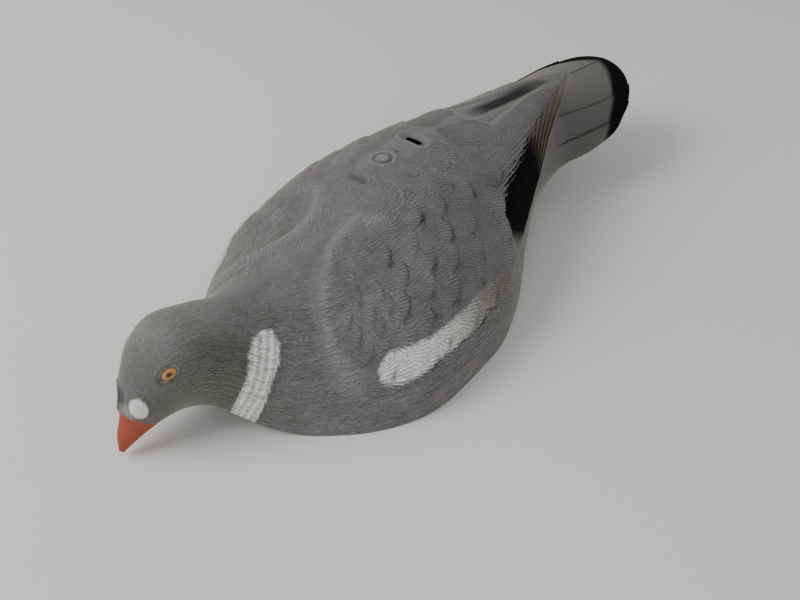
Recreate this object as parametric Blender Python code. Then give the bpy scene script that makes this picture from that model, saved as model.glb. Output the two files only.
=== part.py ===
"""Shell decoy of a feeding wood pigeon: one thin moulding, open underneath, that stands on its rim.

The bird is lofted through named cross-sections. The outer skin carries the feather relief, the inner
skin is plainer and lies one wall thickness inside it, and the two meet in the flat edge of the rim.
The head points to -Y, the tail to +Y, and the bird's left side is +X.
"""
from collections import namedtuple
from math import atan2, pi

import bmesh
import bpy
import numpy as np
from mathutils import Matrix, Vector

MM = 0.001

# Driving sizes in millimetres
WALL = 2.2
BEAK_SOLID_TO = 3.0           # station at which the hollow of the head begins
SLOT_SIZE = (14.0, 5.0)       # peg slot: across the back, along the back
SLOT_AT = 201.0               # distances of the features on the back from the beak tip
BLIND_SLOT_AT = 158.5
BLIND_SLOT_SIZE = (14.0, 4.4)
BLIND_SLOT_DEPTH = 1.0
RING_AT = 176.5
RING_RADIUS = 5.2
RING_GROOVE = 0.75
EYE_AT = (21.0, 20.5)         # along and down from the crown line
EYE_RADIUS = 4.4
EYE_STAND = 1.1
CERE_AT = (8.6, 8.5)
CERE_RADIUS = 5.5
CERE_RISE = 1.5

# Resolution of the two skins
HEAD_ROWS, WING_ROWS, TAIL_ROWS = 20, 48, 13
COLUMNS = 46
INNER_ROWS, INNER_COLUMNS = 30, 24

# One cross-section of the bird. It lies in the plane through its crest point and its two rim points.
# crest_y, rim_y: distance from the beak tip; rim_half, half_width: half widths at the rim and at the
# widest place; waist: share of the height at which it is widest; point: 1 is an ellipse, more is a
# more pointed ridge; sway: how far the section stands to the bird's left.
Station = namedtuple("Station", "crest_y crest_z rim_y rim_z rim_half half_width waist point sway")

STATIONS = (
    Station(0.0, 5.0, 2.0, 3.0, 0.6, 1.1, 0.30, 1.00, -10.0),       # beak tip
    Station(1.5, 13.5, 11.5, 10.5, 3.5, 5.5, 0.30, 1.00, -9.2),     # beak
    Station(5.5, 22.0, 18.5, 14.5, 6.2, 8.8, 0.35, 1.00, -8.5),     # beak base
    Station(7.0, 32.0, 24.0, 16.8, 8.4, 11.4, 0.35, 1.00, -7.8),    # cere
    Station(12.0, 45.5, 31.0, 19.0, 11.5, 15.0, 0.40, 1.00, -7.0),  # forehead
    Station(21.5, 59.5, 37.0, 20.0, 15.9, 19.4, 0.42, 1.00, -5.8),  # eyes
    Station(36.5, 67.0, 42.0, 18.5, 19.7, 22.7, 0.45, 1.02, -4.0),  # crown
    Station(53.5, 64.5, 47.0, 13.0, 23.3, 25.8, 0.42, 1.08, -1.0),  # nape
    Station(73.0, 60.0, 56.5, 4.5, 32.5, 33.5, 0.30, 1.14, 2.4),    # neck
    Station(95.5, 60.5, 71.5, 0.0, 48.5, 49.5, 0.25, 1.17, 4.8),    # breast
    Station(119.0, 66.0, 91.5, 0.0, 66.5, 67.0, 0.20, 1.18, 5.3),   # shoulder
    Station(145.0, 76.0, 121.0, 0.0, 81.0, 81.5, 0.15, 1.18, 3.0),  # front of the wings
    Station(172.0, 84.0, 164.5, 0.0, 81.5, 81.5, 0.10, 1.17, 0.8),  # widest place
    Station(203.0, 84.0, 202.5, 0.0, 70.5, 71.5, 0.10, 1.08, 0.0),  # middle of the wings
    Station(237.0, 81.0, 237.5, 9.0, 48.8, 51.8, 0.15, 0.97, 0.0),  # rear of the wings
    Station(271.0, 77.0, 269.5, 21.5, 34.0, 36.0, 0.15, 0.94, 0.0),  # folded flight feathers
    Station(304.0, 73.0, 299.5, 30.3, 30.3, 31.3, 0.10, 0.93, 0.0),  # base of the tail
    Station(330.5, 67.5, 324.5, 34.2, 36.8, 37.3, 0.05, 0.95, 0.0),  # tail
    Station(362.0, 63.0, 345.5, 39.5, 40.3, 40.3, 0.00, 1.00, 0.0),  # dark tail band
    Station(392.5, 60.0, 350.5, 44.4, 38.2, 38.2, 0.00, 1.00, 0.0),  # tail end
)
LAST = len(STATIONS) - 1
TABLE = np.array(STATIONS)

# Wing outline on the unrolled side: distance along the crest line, distance down from it
WING_OUTLINE = ((150, -4), (128, 7), (111, 18), (101, 34), (97, 50), (100, 64), (108, 76), (122, 88),
                (145, 99), (175, 104), (205, 99), (232, 84), (262, 64), (292, 46), (322, 26), (354, 2),
                (348, -3), (320, 2.5), (290, 8), (268, 11), (252, 13), (246, 7), (244, -4))
WING_RISE = 2.0
WING_STEP = 3.5               # width over which the edge of the wing falls off
FLIGHT_TOP = ((208, 76), (215, 60), (225, 50), (250, 42), (280, 31), (354, 1))
FLIGHT_SINK = 1.6
GROOVE_SINK = 1.0             # depth of the furrow between the folded wings

# A row of covert feathers: where it starts, how its tips follow each other, size of one feather
Row = namedtuple("Row", "along down pitch count slant angle width length rise")

FEATHER_ROWS = (
    Row(112, 46, 10.5, 3, 0.15, 38, 5.6, 13, 1.0),
    Row(122, 41, 11.5, 4, 0.25, 38, 6.2, 15, 1.1),
    Row(132, 47, 12.5, 3, 0.35, 37, 6.8, 17, 1.2),
    Row(146, 43, 13.5, 4, 0.40, 35, 7.4, 19, 1.3),
    Row(161, 46, 14.5, 3, 0.40, 32, 8.2, 22, 1.4),
    Row(181, 40, 16.0, 4, 0.25, 28, 9.2, 26, 1.5),
    Row(202, 43, 17.0, 3, 0.00, 22, 9.8, 30, 1.6),
    Row(134, 87, 9.0, 1, 0.00, 30, 6.5, 16, 1.0),
    Row(148, 93, 9.0, 1, 0.00, 26, 6.5, 16, 1.0),
    Row(162, 97, 9.0, 1, 0.00, 20, 6.5, 16, 1.0),
    Row(177, 99, 9.0, 1, 0.00, 12, 6.5, 16, 1.0),
    Row(147, 24, 9.0, 1, 0.00, 25, 11.0, 26, 1.2),
    Row(167, 22, 9.0, 1, 0.00, 20, 11.5, 28, 1.3),
    Row(187, 22, 9.0, 1, 0.00, 17, 12.0, 30, 1.4),
    Row(211, 20, 9.0, 1, 0.00, 14, 12.5, 34, 1.5),
    Row(241, 19, 9.0, 1, 0.00, 10, 12.0, 42, 1.7),
    Row(236, 34, 9.0, 1, 0.00, 8, 8.5, 44, 1.5),
    Row(226, 45, 9.0, 1, 0.00, 8, 8.0, 40, 1.4),
    Row(216, 62, 9.0, 1, 0.00, 10, 9.5, 36, 1.4),
    Row(210, 78, 9.0, 1, 0.00, 8, 8.5, 32, 1.2),
)
TAIL_LINES = (0.0, 15.0, 29.0, 43.0)      # distances down from the crest at the tail end
TAIL_FEATHER_STEP = 0.9
TAIL_FROM = 290.0


def smooth(value, low, high):
    """Rise from 0 at low to 1 at high."""
    share = np.clip((np.asarray(value, float) - low) / (high - low), 0.0, 1.0)
    return share * share * (3.0 - 2.0 * share)


def curve_value(x, knots, values):
    """Read a smooth curve through the knots, with gentler slopes where it turns."""
    knots = np.asarray(knots, float)
    values = np.asarray(values, float)
    gap = np.diff(knots)
    rate = np.diff(values) / gap
    slope = np.empty_like(values)
    slope[0] = rate[0]
    slope[-1] = rate[-1]
    slope[1:-1] = (rate[:-1] * gap[1:] + rate[1:] * gap[:-1]) / (gap[:-1] + gap[1:])
    slope[1:-1] = np.where(rate[:-1] * rate[1:] <= 0.0, 0.3 * slope[1:-1], slope[1:-1])
    i = np.clip(np.searchsorted(knots, x, side="right") - 1, 0, len(knots) - 2)
    t = (x - knots[i]) / gap[i]
    start = (2 * t**3 - 3 * t**2 + 1) * values[i] + (t**3 - 2 * t**2 + t) * gap[i] * slope[i]
    end = (3 * t**2 - 2 * t**3) * values[i + 1] + (t**3 - t**2) * gap[i] * slope[i + 1]
    return start + end


def skin_point(station, turn):
    """Give the smooth skin in millimetres: station 0 to LAST, turn -1 to 1 from rim to rim."""
    knots = np.arange(LAST + 1)
    row = Station(*(curve_value(station, knots, TABLE[:, column]) for column in range(TABLE.shape[1])))
    row = row._replace(rim_z=np.maximum(row.rim_z, 0.0))
    half_width = np.maximum(row.half_width, row.rim_half)
    waist = np.clip(row.waist, 0.0, 0.9)
    side = np.abs(turn)
    knee = 1.0 - 0.8 * waist
    angle = np.clip(1.0 - side / knee, 0.0, 1.0) * pi / 2
    tuck = np.clip((side - knee) / np.maximum(1.0 - knee, 1e-6), 0.0, 1.0)
    above = side <= knee
    x_above = half_width * np.cos(angle) ** row.point
    x_below = row.rim_half + (half_width - row.rim_half) * np.cos(tuck * pi / 2)
    height = np.where(above, waist + (1.0 - waist) * np.sin(angle) ** row.point, waist * (1.0 - tuck))
    x = np.sign(turn) * np.where(above, x_above, x_below) + row.sway
    y = row.rim_y + (row.crest_y - row.rim_y) * height
    z = row.rim_z + (row.crest_z - row.rim_z) * height
    return np.stack([x, y, z], axis=-1)


def skin_normal(station, turn):
    """Give the outward direction of the smooth skin."""
    step = 0.004
    ahead = skin_point(np.minimum(station + step, LAST), turn) - skin_point(np.maximum(station - step, 0), turn)
    across = skin_point(station, np.minimum(turn + step, 1)) - skin_point(station, np.maximum(turn - step, -1))
    normal = np.cross(across, ahead)
    return normal / np.maximum(np.linalg.norm(normal, axis=-1, keepdims=True), 1e-9)


def unrolled(station, turn):
    """Give each point's place on the unrolled skin: along the crest line and down from it."""
    steps = np.linspace(0.0, 1.0, 33)
    left = skin_point(station[..., None], np.abs(turn)[..., None] * steps)
    down = np.linalg.norm(np.diff(left, axis=-2), axis=-1).sum(axis=-1)
    along = curve_value(station, np.arange(LAST + 1), TABLE[:, 0])
    return along, down


def outline_distance(along, down, outline):
    """Give the distance inside (positive) or outside (negative) a closed outline."""
    corners = np.array(outline, float)
    nearest = np.full(np.shape(along), 1e9)
    inside = np.zeros(np.shape(along), bool)
    for start, end in zip(corners, np.roll(corners, -1, axis=0)):
        edge = end - start
        share = ((along - start[0]) * edge[0] + (down - start[1]) * edge[1]) / (edge @ edge)
        share = np.clip(share, 0.0, 1.0)
        gap = np.hypot(along - start[0] - share * edge[0], down - start[1] - share * edge[1])
        nearest = np.minimum(nearest, gap)
        crosses = (start[1] > down) != (end[1] > down)
        rise = edge[1] if edge[1] != 0.0 else 1e-9
        inside ^= crosses & (along < start[0] + (down - start[1]) * edge[0] / rise)
    return np.where(inside, nearest, -nearest)


def feather_height(along, down, row):
    """Shingle one row of feathers: each rises to its round tip, and the highest one shows."""
    angle = np.radians(row.angle)
    height = np.zeros(np.shape(along))
    for i in range(row.count):
        tip_down = row.down + i * row.pitch
        tip_along = row.along + i * row.pitch * row.slant
        back = (tip_along - along) * np.cos(angle) + (tip_down - down) * np.sin(angle)
        aside = (down - tip_down) * np.cos(angle) - (along - tip_along) * np.sin(angle)
        round_part = np.clip(1.0 - back / row.width, 0.0, 1.0)
        half = row.width * np.sqrt(np.clip(1.0 - round_part**2, 0.0, 1.0))
        inside = smooth(half - np.abs(aside), 0.0, 1.2) * smooth(back, 0.0, 0.8)
        height = np.maximum(height, row.rise * inside * np.clip(1.0 - back / row.length, 0.0, 1.0))
    return height


def relief(along, down):
    """Give the height of the carving above the smooth skin in millimetres."""
    inside = outline_distance(along, down, WING_OUTLINE)
    fade_in = 1.0 - smooth(along, 172.0, 138.0) * smooth(down, 18.0, 4.0)
    wing = smooth(inside, -WING_STEP / 2, WING_STEP / 2) * fade_in
    lip = np.exp(-((inside - 3.0) / 3.0) ** 2) * smooth(along, 160.0, 130.0)
    height = WING_RISE * wing + 0.6 * lip * wing
    below_flight = down - np.interp(along, *np.array(FLIGHT_TOP, float).T)
    height -= FLIGHT_SINK * smooth(below_flight, -1.0, 1.5) * smooth(along, 206.0, 216.0) * wing
    feathers = np.zeros(np.shape(along))
    for row in FEATHER_ROWS:
        feathers = np.maximum(feathers, feather_height(along, down, row))
    height += feathers * wing
    height -= GROOVE_SINK * smooth(along, 240.0, 252.0) * smooth(along, 335.0, 300.0) * smooth(down, 7.0, 2.0)
    height += tail_relief(along, down) * (1.0 - wing)
    cere = np.hypot(along - CERE_AT[0], down - CERE_AT[1])
    height += CERE_RISE * (1.0 - smooth(cere, 0.0, CERE_RADIUS))
    return height


def tail_relief(along, down):
    """Give the overlapping tail feathers: each is a low slope that ends in a small step."""
    spread = 0.62 + 0.38 * smooth(along, TAIL_FROM, 385.0)
    fan = down / spread
    height = np.zeros(np.shape(along))
    for inner, outer in zip(TAIL_LINES, TAIL_LINES[1:] + (58.0,)):
        share = (fan - inner) / (outer - inner)
        here = (share >= 0.0) & (share < 1.0)
        height = np.where(here, TAIL_FEATHER_STEP * (1.0 - share), height)
    return height * smooth(along, TAIL_FROM, TAIL_FROM + 25.0)


def add_grid(mesh, points):
    """Add a grid of points and the faces between them, and give back its vertices."""
    verts = [[mesh.verts.new(Vector(point) * MM) for point in line] for line in points]
    for line, following in zip(verts, verts[1:]):
        for i in range(len(line) - 1):
            mesh.faces.new((line[i], following[i], following[i + 1], line[i + 1]))
    return verts


def zip_edges(mesh, outer, inner):
    """Fill the strip between two rows of vertices that have different counts."""
    def shares(verts):
        lengths = [0.0]
        for first, second in zip(verts, verts[1:]):
            lengths.append(lengths[-1] + (second.co - first.co).length)
        return [length / lengths[-1] for length in lengths]

    outer_share, inner_share = shares(outer), shares(inner)
    i = j = 0
    while i < len(outer) - 1 or j < len(inner) - 1:
        step_outer = j == len(inner) - 1 or (i < len(outer) - 1 and outer_share[i + 1] <= inner_share[j + 1])
        if step_outer:
            mesh.faces.new((outer[i], outer[i + 1], inner[j]))
            i += 1
        else:
            mesh.faces.new((outer[i], inner[j + 1], inner[j]))
            j += 1


def outer_stations():
    """Space the rows of the outer skin: closer together over the wings than over the tail."""
    knots = np.arange(LAST + 1)
    dense = np.linspace(0.0, LAST, 2001)
    along = curve_value(dense, knots, TABLE[:, 0])
    head = np.linspace(0.0, 9.0, HEAD_ROWS, endpoint=False)
    head[np.argmin(np.abs(head - BEAK_SOLID_TO))] = BEAK_SOLID_TO
    wings = np.interp(np.linspace(along[np.searchsorted(dense, 9.0)], 300.0, WING_ROWS, endpoint=False), along, dense)
    tail = np.interp(np.linspace(300.0, TABLE[-1, 0], TAIL_ROWS), along, dense)
    return np.concatenate([head, wings, tail])


def build_shell():
    """Loft the outer and inner skin and close them along the rim and at the solid beak."""
    stations = outer_stations()
    station, turn = np.meshgrid(stations, np.linspace(-1.0, 1.0, COLUMNS + 1), indexing="ij")
    outer_points = skin_point(station, turn)
    height = relief(*unrolled(station, turn)) * smooth(1.0 - np.abs(turn), 0.0, 0.06)
    outer_points += height[..., None] * skin_normal(station, turn)

    station, turn = np.meshgrid(np.linspace(BEAK_SOLID_TO, LAST, INNER_ROWS + 1),
                                np.linspace(-1.0, 1.0, INNER_COLUMNS + 1), indexing="ij")
    inner_points = skin_point(station, turn)
    rim_height = inner_points[:, (0, -1), 2].copy()
    inner_points -= WALL * skin_normal(station, turn)
    before_tail = station[:, 0] < LAST - 1
    inner_points[before_tail, 0, 2] = rim_height[before_tail, 0]
    inner_points[before_tail, -1, 2] = rim_height[before_tail, 1]

    centre = (outer_points.reshape(-1, 3).min(axis=0) + outer_points.reshape(-1, 3).max(axis=0)) / 2
    centre[2] = 0.0
    mesh = bmesh.new()
    outer = add_grid(mesh, outer_points - centre)
    inner = add_grid(mesh, inner_points - centre)

    hollow_row = int(np.argmin(np.abs(stations - BEAK_SOLID_TO)))
    for i in range(hollow_row):
        mesh.faces.new((outer[i][0], outer[i][-1], outer[i + 1][-1], outer[i + 1][0]))
    mesh.faces.new(outer[0])
    mesh.faces.new(inner[0])
    mesh.faces.new((outer[hollow_row][0], outer[hollow_row][-1], inner[0][-1], inner[0][0]))
    for column in (0, -1):
        zip_edges(mesh, [line[column] for line in outer[hollow_row:]], [line[column] for line in inner])
    zip_edges(mesh, outer[-1], inner[-1])

    bmesh.ops.recalc_face_normals(mesh, faces=mesh.faces)
    data = bpy.data.meshes.new("shell")
    mesh.to_mesh(data)
    mesh.free()
    return bpy.data.objects.new("shell", data), centre


def crest_frame(distance, centre):
    """Give the place and the tilt of the crest line at a distance from the beak tip."""
    knots = np.arange(LAST + 1)
    dense = np.linspace(0.0, LAST, 2001)
    station = np.interp(distance, curve_value(dense, knots, TABLE[:, 0]), dense)
    point = skin_point(station, 0.0)
    step = skin_point(station + 0.05, 0.0) - skin_point(station - 0.05, 0.0)
    rise = float(relief(np.array([distance]), np.array([0.0]))[0])
    place = Vector((-centre[0], point[1] - centre[1], point[2] + rise)) * MM
    return place, Matrix.Rotation(atan2(step[2], step[1]), 4, "X")


def add_cutter(name, collection, place, tilt):
    """Name the active object as a cutter and move it to its place."""
    cutter = bpy.context.object
    cutter.name = name
    cutter.matrix_world = Matrix.Translation(place) @ tilt
    cutter.hide_render = True
    cutter.display_type = "WIRE"
    for owner in list(cutter.users_collection):
        owner.objects.unlink(cutter)
    collection.objects.link(cutter)
    return cutter


def add_box_cutter(name, collection, place, tilt, size):
    bpy.ops.mesh.primitive_cube_add(size=1.0)
    cutter = add_cutter(name, collection, place, tilt)
    for vert in cutter.data.vertices:
        vert.co = Vector((vert.co.x * size[0], vert.co.y * size[1], vert.co.z * size[2])) * MM
    return cutter


def back_cutters(collection, centre):
    """Make the peg slot, the blind slot in front of it and the ring between them."""
    place, tilt = crest_frame(SLOT_AT, centre)
    yield add_box_cutter("peg_slot_cutter", collection, place, Matrix(), (*SLOT_SIZE, 30.0))

    place, tilt = crest_frame(BLIND_SLOT_AT, centre)
    yield add_box_cutter("blind_slot_cutter", collection, place, tilt, (*BLIND_SLOT_SIZE, 2 * BLIND_SLOT_DEPTH))

    place, tilt = crest_frame(RING_AT, centre)
    bpy.ops.mesh.primitive_torus_add(major_radius=RING_RADIUS * MM, minor_radius=RING_GROOVE * MM,
                                     major_segments=24, minor_segments=6)
    yield add_cutter("ring_cutter", collection, place, tilt)


def add_eyes(collection, centre):
    """Make one flattened dome on each side of the head, to be joined to the shell."""
    dense = np.linspace(3.0, 8.0, 501)
    station = np.interp(EYE_AT[0], curve_value(dense, np.arange(LAST + 1), TABLE[:, 0]), dense)
    turns = np.linspace(0.0, 1.0, 401)
    down = unrolled(np.full(turns.shape, station), turns)[1]
    turn = np.interp(EYE_AT[1], down, turns)
    for side in (1, -1):
        point = Vector(skin_point(station, side * turn) - centre)
        normal = Vector(skin_normal(station, side * turn))
        bpy.ops.mesh.primitive_uv_sphere_add(segments=14, ring_count=8, radius=EYE_RADIUS * MM)
        flat = Matrix.Diagonal((1.0, 1.0, 0.55, 1.0))
        bpy.context.object.data.transform(flat)
        lift = EYE_STAND - 0.55 * EYE_RADIUS
        facing = normal.to_track_quat("Z", "Y").to_matrix().to_4x4()
        yield add_cutter("eye_form", collection, (point + normal * lift) * MM, facing)


def plastic():
    material = bpy.data.materials.new("flocked_plastic")
    material.use_nodes = True
    shader = material.node_tree.nodes["Principled BSDF"]
    shader.inputs["Base Color"].default_value = (0.19, 0.18, 0.185, 1.0)
    shader.inputs["Roughness"].default_value = 0.95
    shader.inputs["Metallic"].default_value = 0.0
    return material


def main():
    for item in list(bpy.data.objects):
        bpy.data.objects.remove(item, do_unlink=True)
    decoy = bpy.data.collections.new("pigeon_decoy")
    cutters = bpy.data.collections.new("cutters")
    bpy.context.scene.collection.children.link(decoy)
    bpy.context.scene.collection.children.link(cutters)

    shell, centre = build_shell()
    decoy.objects.link(shell)
    shell.data.materials.append(plastic())
    for operation, tools in (("UNION", add_eyes(cutters, centre)), ("DIFFERENCE", back_cutters(cutters, centre))):
        for tool in tools:
            boolean = shell.modifiers.new(tool.name, "BOOLEAN")
            boolean.operation = operation
            boolean.solver = "EXACT"
            boolean.object = tool
    shell.data.shade_smooth()
    shell.data.set_sharp_from_angle(angle=0.6)


main()
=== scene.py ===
"""Flocked shell decoy of a feeding wood pigeon, standing on its rim on a plain pale floor.

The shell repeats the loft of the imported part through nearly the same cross-sections and adds the fine
feather relief as mesh. Paint and flock are nodes that read fields stored on the mesh.
"""

from collections import namedtuple
from math import pi

import bmesh
import bpy
import numpy as np
from mathutils import Matrix, Vector


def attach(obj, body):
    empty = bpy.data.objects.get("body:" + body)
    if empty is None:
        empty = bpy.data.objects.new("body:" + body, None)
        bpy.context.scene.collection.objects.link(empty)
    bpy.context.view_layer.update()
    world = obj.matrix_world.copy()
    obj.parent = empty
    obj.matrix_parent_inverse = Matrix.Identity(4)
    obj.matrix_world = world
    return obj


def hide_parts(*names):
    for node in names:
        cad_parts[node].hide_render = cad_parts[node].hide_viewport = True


MM = 0.001

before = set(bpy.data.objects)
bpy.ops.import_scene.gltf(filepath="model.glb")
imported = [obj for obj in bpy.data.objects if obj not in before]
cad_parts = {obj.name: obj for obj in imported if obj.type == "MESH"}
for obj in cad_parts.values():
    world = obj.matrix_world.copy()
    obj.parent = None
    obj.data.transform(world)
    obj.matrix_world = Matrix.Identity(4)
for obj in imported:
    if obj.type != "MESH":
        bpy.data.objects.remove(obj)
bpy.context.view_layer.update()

# Sizes and places in millimetres, most of them those of the part's source
WALL = 2.2
BEAK_SOLID_TO = 3.0
SLOT_SIZE = (14.0, 5.0)
SLIT_INSET = (4.0, 2.3)       # the slit that shows is smaller than the solid's opening
SLIT_DEPTH = 30.0
SLOT_AT = 201.0
BLIND_SLOT_AT = 158.5
BLIND_SLOT_DEPTH = 1.2        # 0.2 deeper than in the part's source
RING_AT = 176.5
HEAD_SWAY = -5.9              # the middle between the eyes stands to the bird's right
EYE_PLACE = (15.8, 25.0, 49.5)
EYE_LONG = (0.37, 0.77, 0.53)  # from the beak's side of the eye to the nape's side
EYE_HALF = (4.1, 2.6)
CERE_PLACES = ((0.7, 11.1, 32.8), (-13.4, 9.4, 33.4))
CERE_RADIUS = 5.0
CERE_RISE = 1.8
BETWEEN_CERES = (-8.4, 8.6, 36.5)
BEAK_ROOT = (-3.2, 8.4, 30.0)

# Where the photographer stood, in the loft's millimetres, and the camera's right, up and back
CAMERA_AT = (274.9, -103.7, 321.1)
CAMERA_TURN = ((0.7421, 0.6696, -0.0313), (-0.4158, 0.4964, 0.7620), (0.5258, -0.5525, 0.6468))
CAMERA_LENS = 39.37

# Resolution of the two skins
HEAD_ROWS, WING_ROWS, TAIL_ROWS = 116, 270, 62
COLUMNS = 208
INNER_ROWS, INNER_COLUMNS = 40, 30
SLOT_CORNERS = 24

# One cross-section of the bird, in the plane through its crest point and its two rim points.
Station = namedtuple("Station", "crest_y crest_z rim_y rim_z rim_half half_width waist point sway")

STATIONS = (
    Station(0.0, 5.0, 2.0, 3.0, 0.6, 1.1, 0.30, 1.00, -10.0),       # beak tip
    Station(1.5, 13.5, 11.5, 10.5, 3.5, 5.5, 0.30, 1.00, -9.2),     # beak
    Station(5.5, 22.0, 18.5, 14.5, 6.2, 8.8, 0.35, 1.00, -8.5),     # beak base
    Station(7.0, 32.0, 24.0, 16.8, 8.4, 11.4, 0.35, 1.00, -7.8),    # cere
    Station(12.0, 45.5, 31.0, 19.0, 11.5, 15.0, 0.40, 1.00, -7.0),  # forehead
    Station(21.5, 59.5, 37.0, 20.0, 15.9, 19.4, 0.42, 1.00, -5.8),  # eyes
    Station(36.5, 67.0, 42.0, 18.5, 19.7, 22.7, 0.45, 1.02, -4.0),  # crown
    Station(53.5, 64.5, 47.0, 13.0, 23.3, 25.8, 0.42, 1.08, -1.0),  # nape
    Station(73.0, 60.0, 56.5, 4.5, 32.5, 33.5, 0.30, 1.14, 2.4),    # neck
    Station(95.5, 60.5, 71.5, 0.0, 48.5, 49.5, 0.25, 1.20, 4.8),    # breast
    Station(119.0, 66.0, 91.5, 0.0, 66.5, 67.0, 0.20, 1.25, 5.3),   # shoulder
    Station(145.0, 76.0, 121.0, 0.0, 81.0, 81.5, 0.15, 1.23, 3.0),  # front of the wings
    Station(172.0, 84.0, 164.5, 0.0, 81.5, 81.5, 0.10, 1.17, 0.8),  # widest place
    Station(203.0, 84.0, 202.5, 0.0, 70.5, 71.5, 0.10, 1.08, 0.0),  # middle of the wings
    Station(237.0, 81.0, 237.5, 9.0, 48.8, 51.8, 0.15, 0.97, 0.0),  # rear of the wings
    Station(271.0, 77.0, 269.5, 21.5, 34.0, 36.0, 0.15, 0.94, 0.0),  # folded flight feathers
    Station(304.0, 73.0, 299.5, 30.3, 30.3, 31.3, 0.10, 0.93, 0.0),  # base of the tail
    Station(330.5, 67.5, 324.5, 34.2, 36.8, 37.3, 0.05, 0.95, 0.0),  # tail
    Station(362.0, 63.0, 345.5, 39.5, 40.3, 40.3, 0.00, 1.00, 0.0),  # dark tail band
    Station(392.5, 60.0, 352.0, 41.7, 38.2, 38.2, 0.00, 1.00, 0.0),  # tail end
)
LAST = len(STATIONS) - 1
TABLE = np.array(STATIONS)

# Outlines on the unrolled side: distance along the crest line, distance down from it
WING_OUTLINE = ((150, -4), (141, 3), (133, 3), (122, 3.5), (111, 10.5), (101.5, 19.5), (96, 30), (93, 42),
                (93, 52), (96, 63), (103, 75), (115, 85.5), (126, 92.5), (140, 98), (153, 101), (165, 102.8),
                (178, 102.5), (192, 98.5), (206, 92), (222, 84), (240, 75), (262, 63), (271, 57), (279, 48.5),
                (292, 36), (304, 27.3), (322, 17), (355, -0.5), (348, -3), (320, 1.5), (290, 6.5),
                (268, 10.5),
                (250, 14.5), (245, 8), (244, -4))
FRONT_RIDGE = ((153, 28), (148.5, 23), (142, 14), (132, 10.5), (121.5, 12), (112.5, 18.5), (105.5, 27.5),
               (101.5, 37),
               (100.5, 46), (101, 55), (104, 64), (109, 72))
WING_RISE = (0.9, 1.5)        # over the shoulder and over the tail
WING_STEP = 3.5
LIP_RISE = 1.5
FLIGHT_TOP = ((208, 88), (211, 66), (216, 57), (226, 48.5), (246, 39.5), (258, 34), (270, 27.5), (287, 21),
              (302, 17),
              (313, 13), (356, -3))
FLIGHT_SINK = 0.8
QUILL_PITCH = 2.9
BARB_PITCH = 1.8
STRAND_PITCH = 2.2
FRINGE_PITCH = 2.3
GROOVE_SINK = 1.2
WHITE_BAR = ((116, 73), (118, 70.5), (122, 69.5), (130.5, 76), (140, 82), (150, 85), (158, 86.6), (165, 87.5),
             (175, 87.5), (189, 87.8), (191, 92), (188, 96.6), (180, 98), (172, 99), (162.5, 99.6),
             (154, 98.2),
             (146, 95.7), (133, 92.7), (125, 88.1), (119, 82), (116.5, 78))
NECK_PATCH = ((73, 21), (77, 24), (78, 31), (75.5, 39), (71, 46), (68, 54), (66, 64), (62, 75), (40, 75),
              (48, 62), (51.5, 54), (55.5, 45), (59, 37.5), (61.5, 30), (66, 23.5))
TAIL_BAND = ((-20, 391), (0, 386), (13, 379), (25, 368.5), (32, 362), (40, 352.5), (46, 348), (60, 345))
TAIL_LINES = (0.0, 30.4, 45.0)
TAIL_FEATHER_STEP = 0.9
TAIL_FROM = 285.0

# Feathers that show on one wing: the tip of each, in groups of one size
Group = namedtuple("Group", "angle width length rise barbs tips")

LESSER_COVERTS = Group(42, 6.6, 17, 0.6, 0.8, (
    (113, 35), (112.5, 44.5), (113, 55), (116, 65), (122, 29), (120.5, 41), (123.5, 51), (124, 60), (124, 69),
    (132, 33), (130.5, 47.9), (131, 57), (131, 70)))
MEDIAN_COVERTS = Group(42, 7.6, 20, 0.85, 1.0, (
    (142, 40), (143.7, 53.7), (137.7, 64.2), (136, 77), (153, 33), (156.5, 47), (159.5, 58.3), (152.2, 68.1),
    (145, 79.2), (139, 88), (152, 92)))
GREATER_COVERTS = Group(34, 8.4, 23, 1.05, 1.0, (
    (167, 38), (174.2, 54.8), (169.8, 66.4), (162.9, 78.6), (167, 95), (180, 43), (190, 59), (184.7, 71.5),
    (177.1, 82.2), (182, 93)))
SECONDARIES = Group(17, 9.6, 32, 1.2, 1.0, (
    (193, 33), (201.4, 42.6), (229.3, 41.4), (217.2, 56.3), (212, 70), (205, 82), (197, 91)))
FIRST_SCAPULARS = Group(18, 11.5, 26, 1.2, 0.6, ((167, 19.5), (184, 25)))
SCAPULARS = Group(12, 12.0, 31, 1.3, 1.2, ((210.5, 18), (243.5, 17)))
FRINGED = Group(-21, 7.2, 46, 1.1, 1.0, ((269, 29.5),))
TERTIALS = Group(-17, 6.4, 56, 0.9, 0.25, ((276, 22), (292, 17.5), (309, 11.5), (328, 4)))
BAR_COVERTS = Group(24, 7.5, 19, 0.8, 1.1, ((124, 79), (131, 86), (143, 93), (156, 97), (170, 99), (186, 96)))
COVERT_GROUPS = (LESSER_COVERTS, BAR_COVERTS, MEDIAN_COVERTS, GREATER_COVERTS, SECONDARIES, FIRST_SCAPULARS,
                 SCAPULARS)
LONG_GROUPS = (FRINGED, TERTIALS)


def smooth(value, low, high):
    """Rise from 0 at low to 1 at high."""
    share = np.clip((np.asarray(value, float) - low) / (high - low), 0.0, 1.0)
    return share * share * (3.0 - 2.0 * share)


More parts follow.
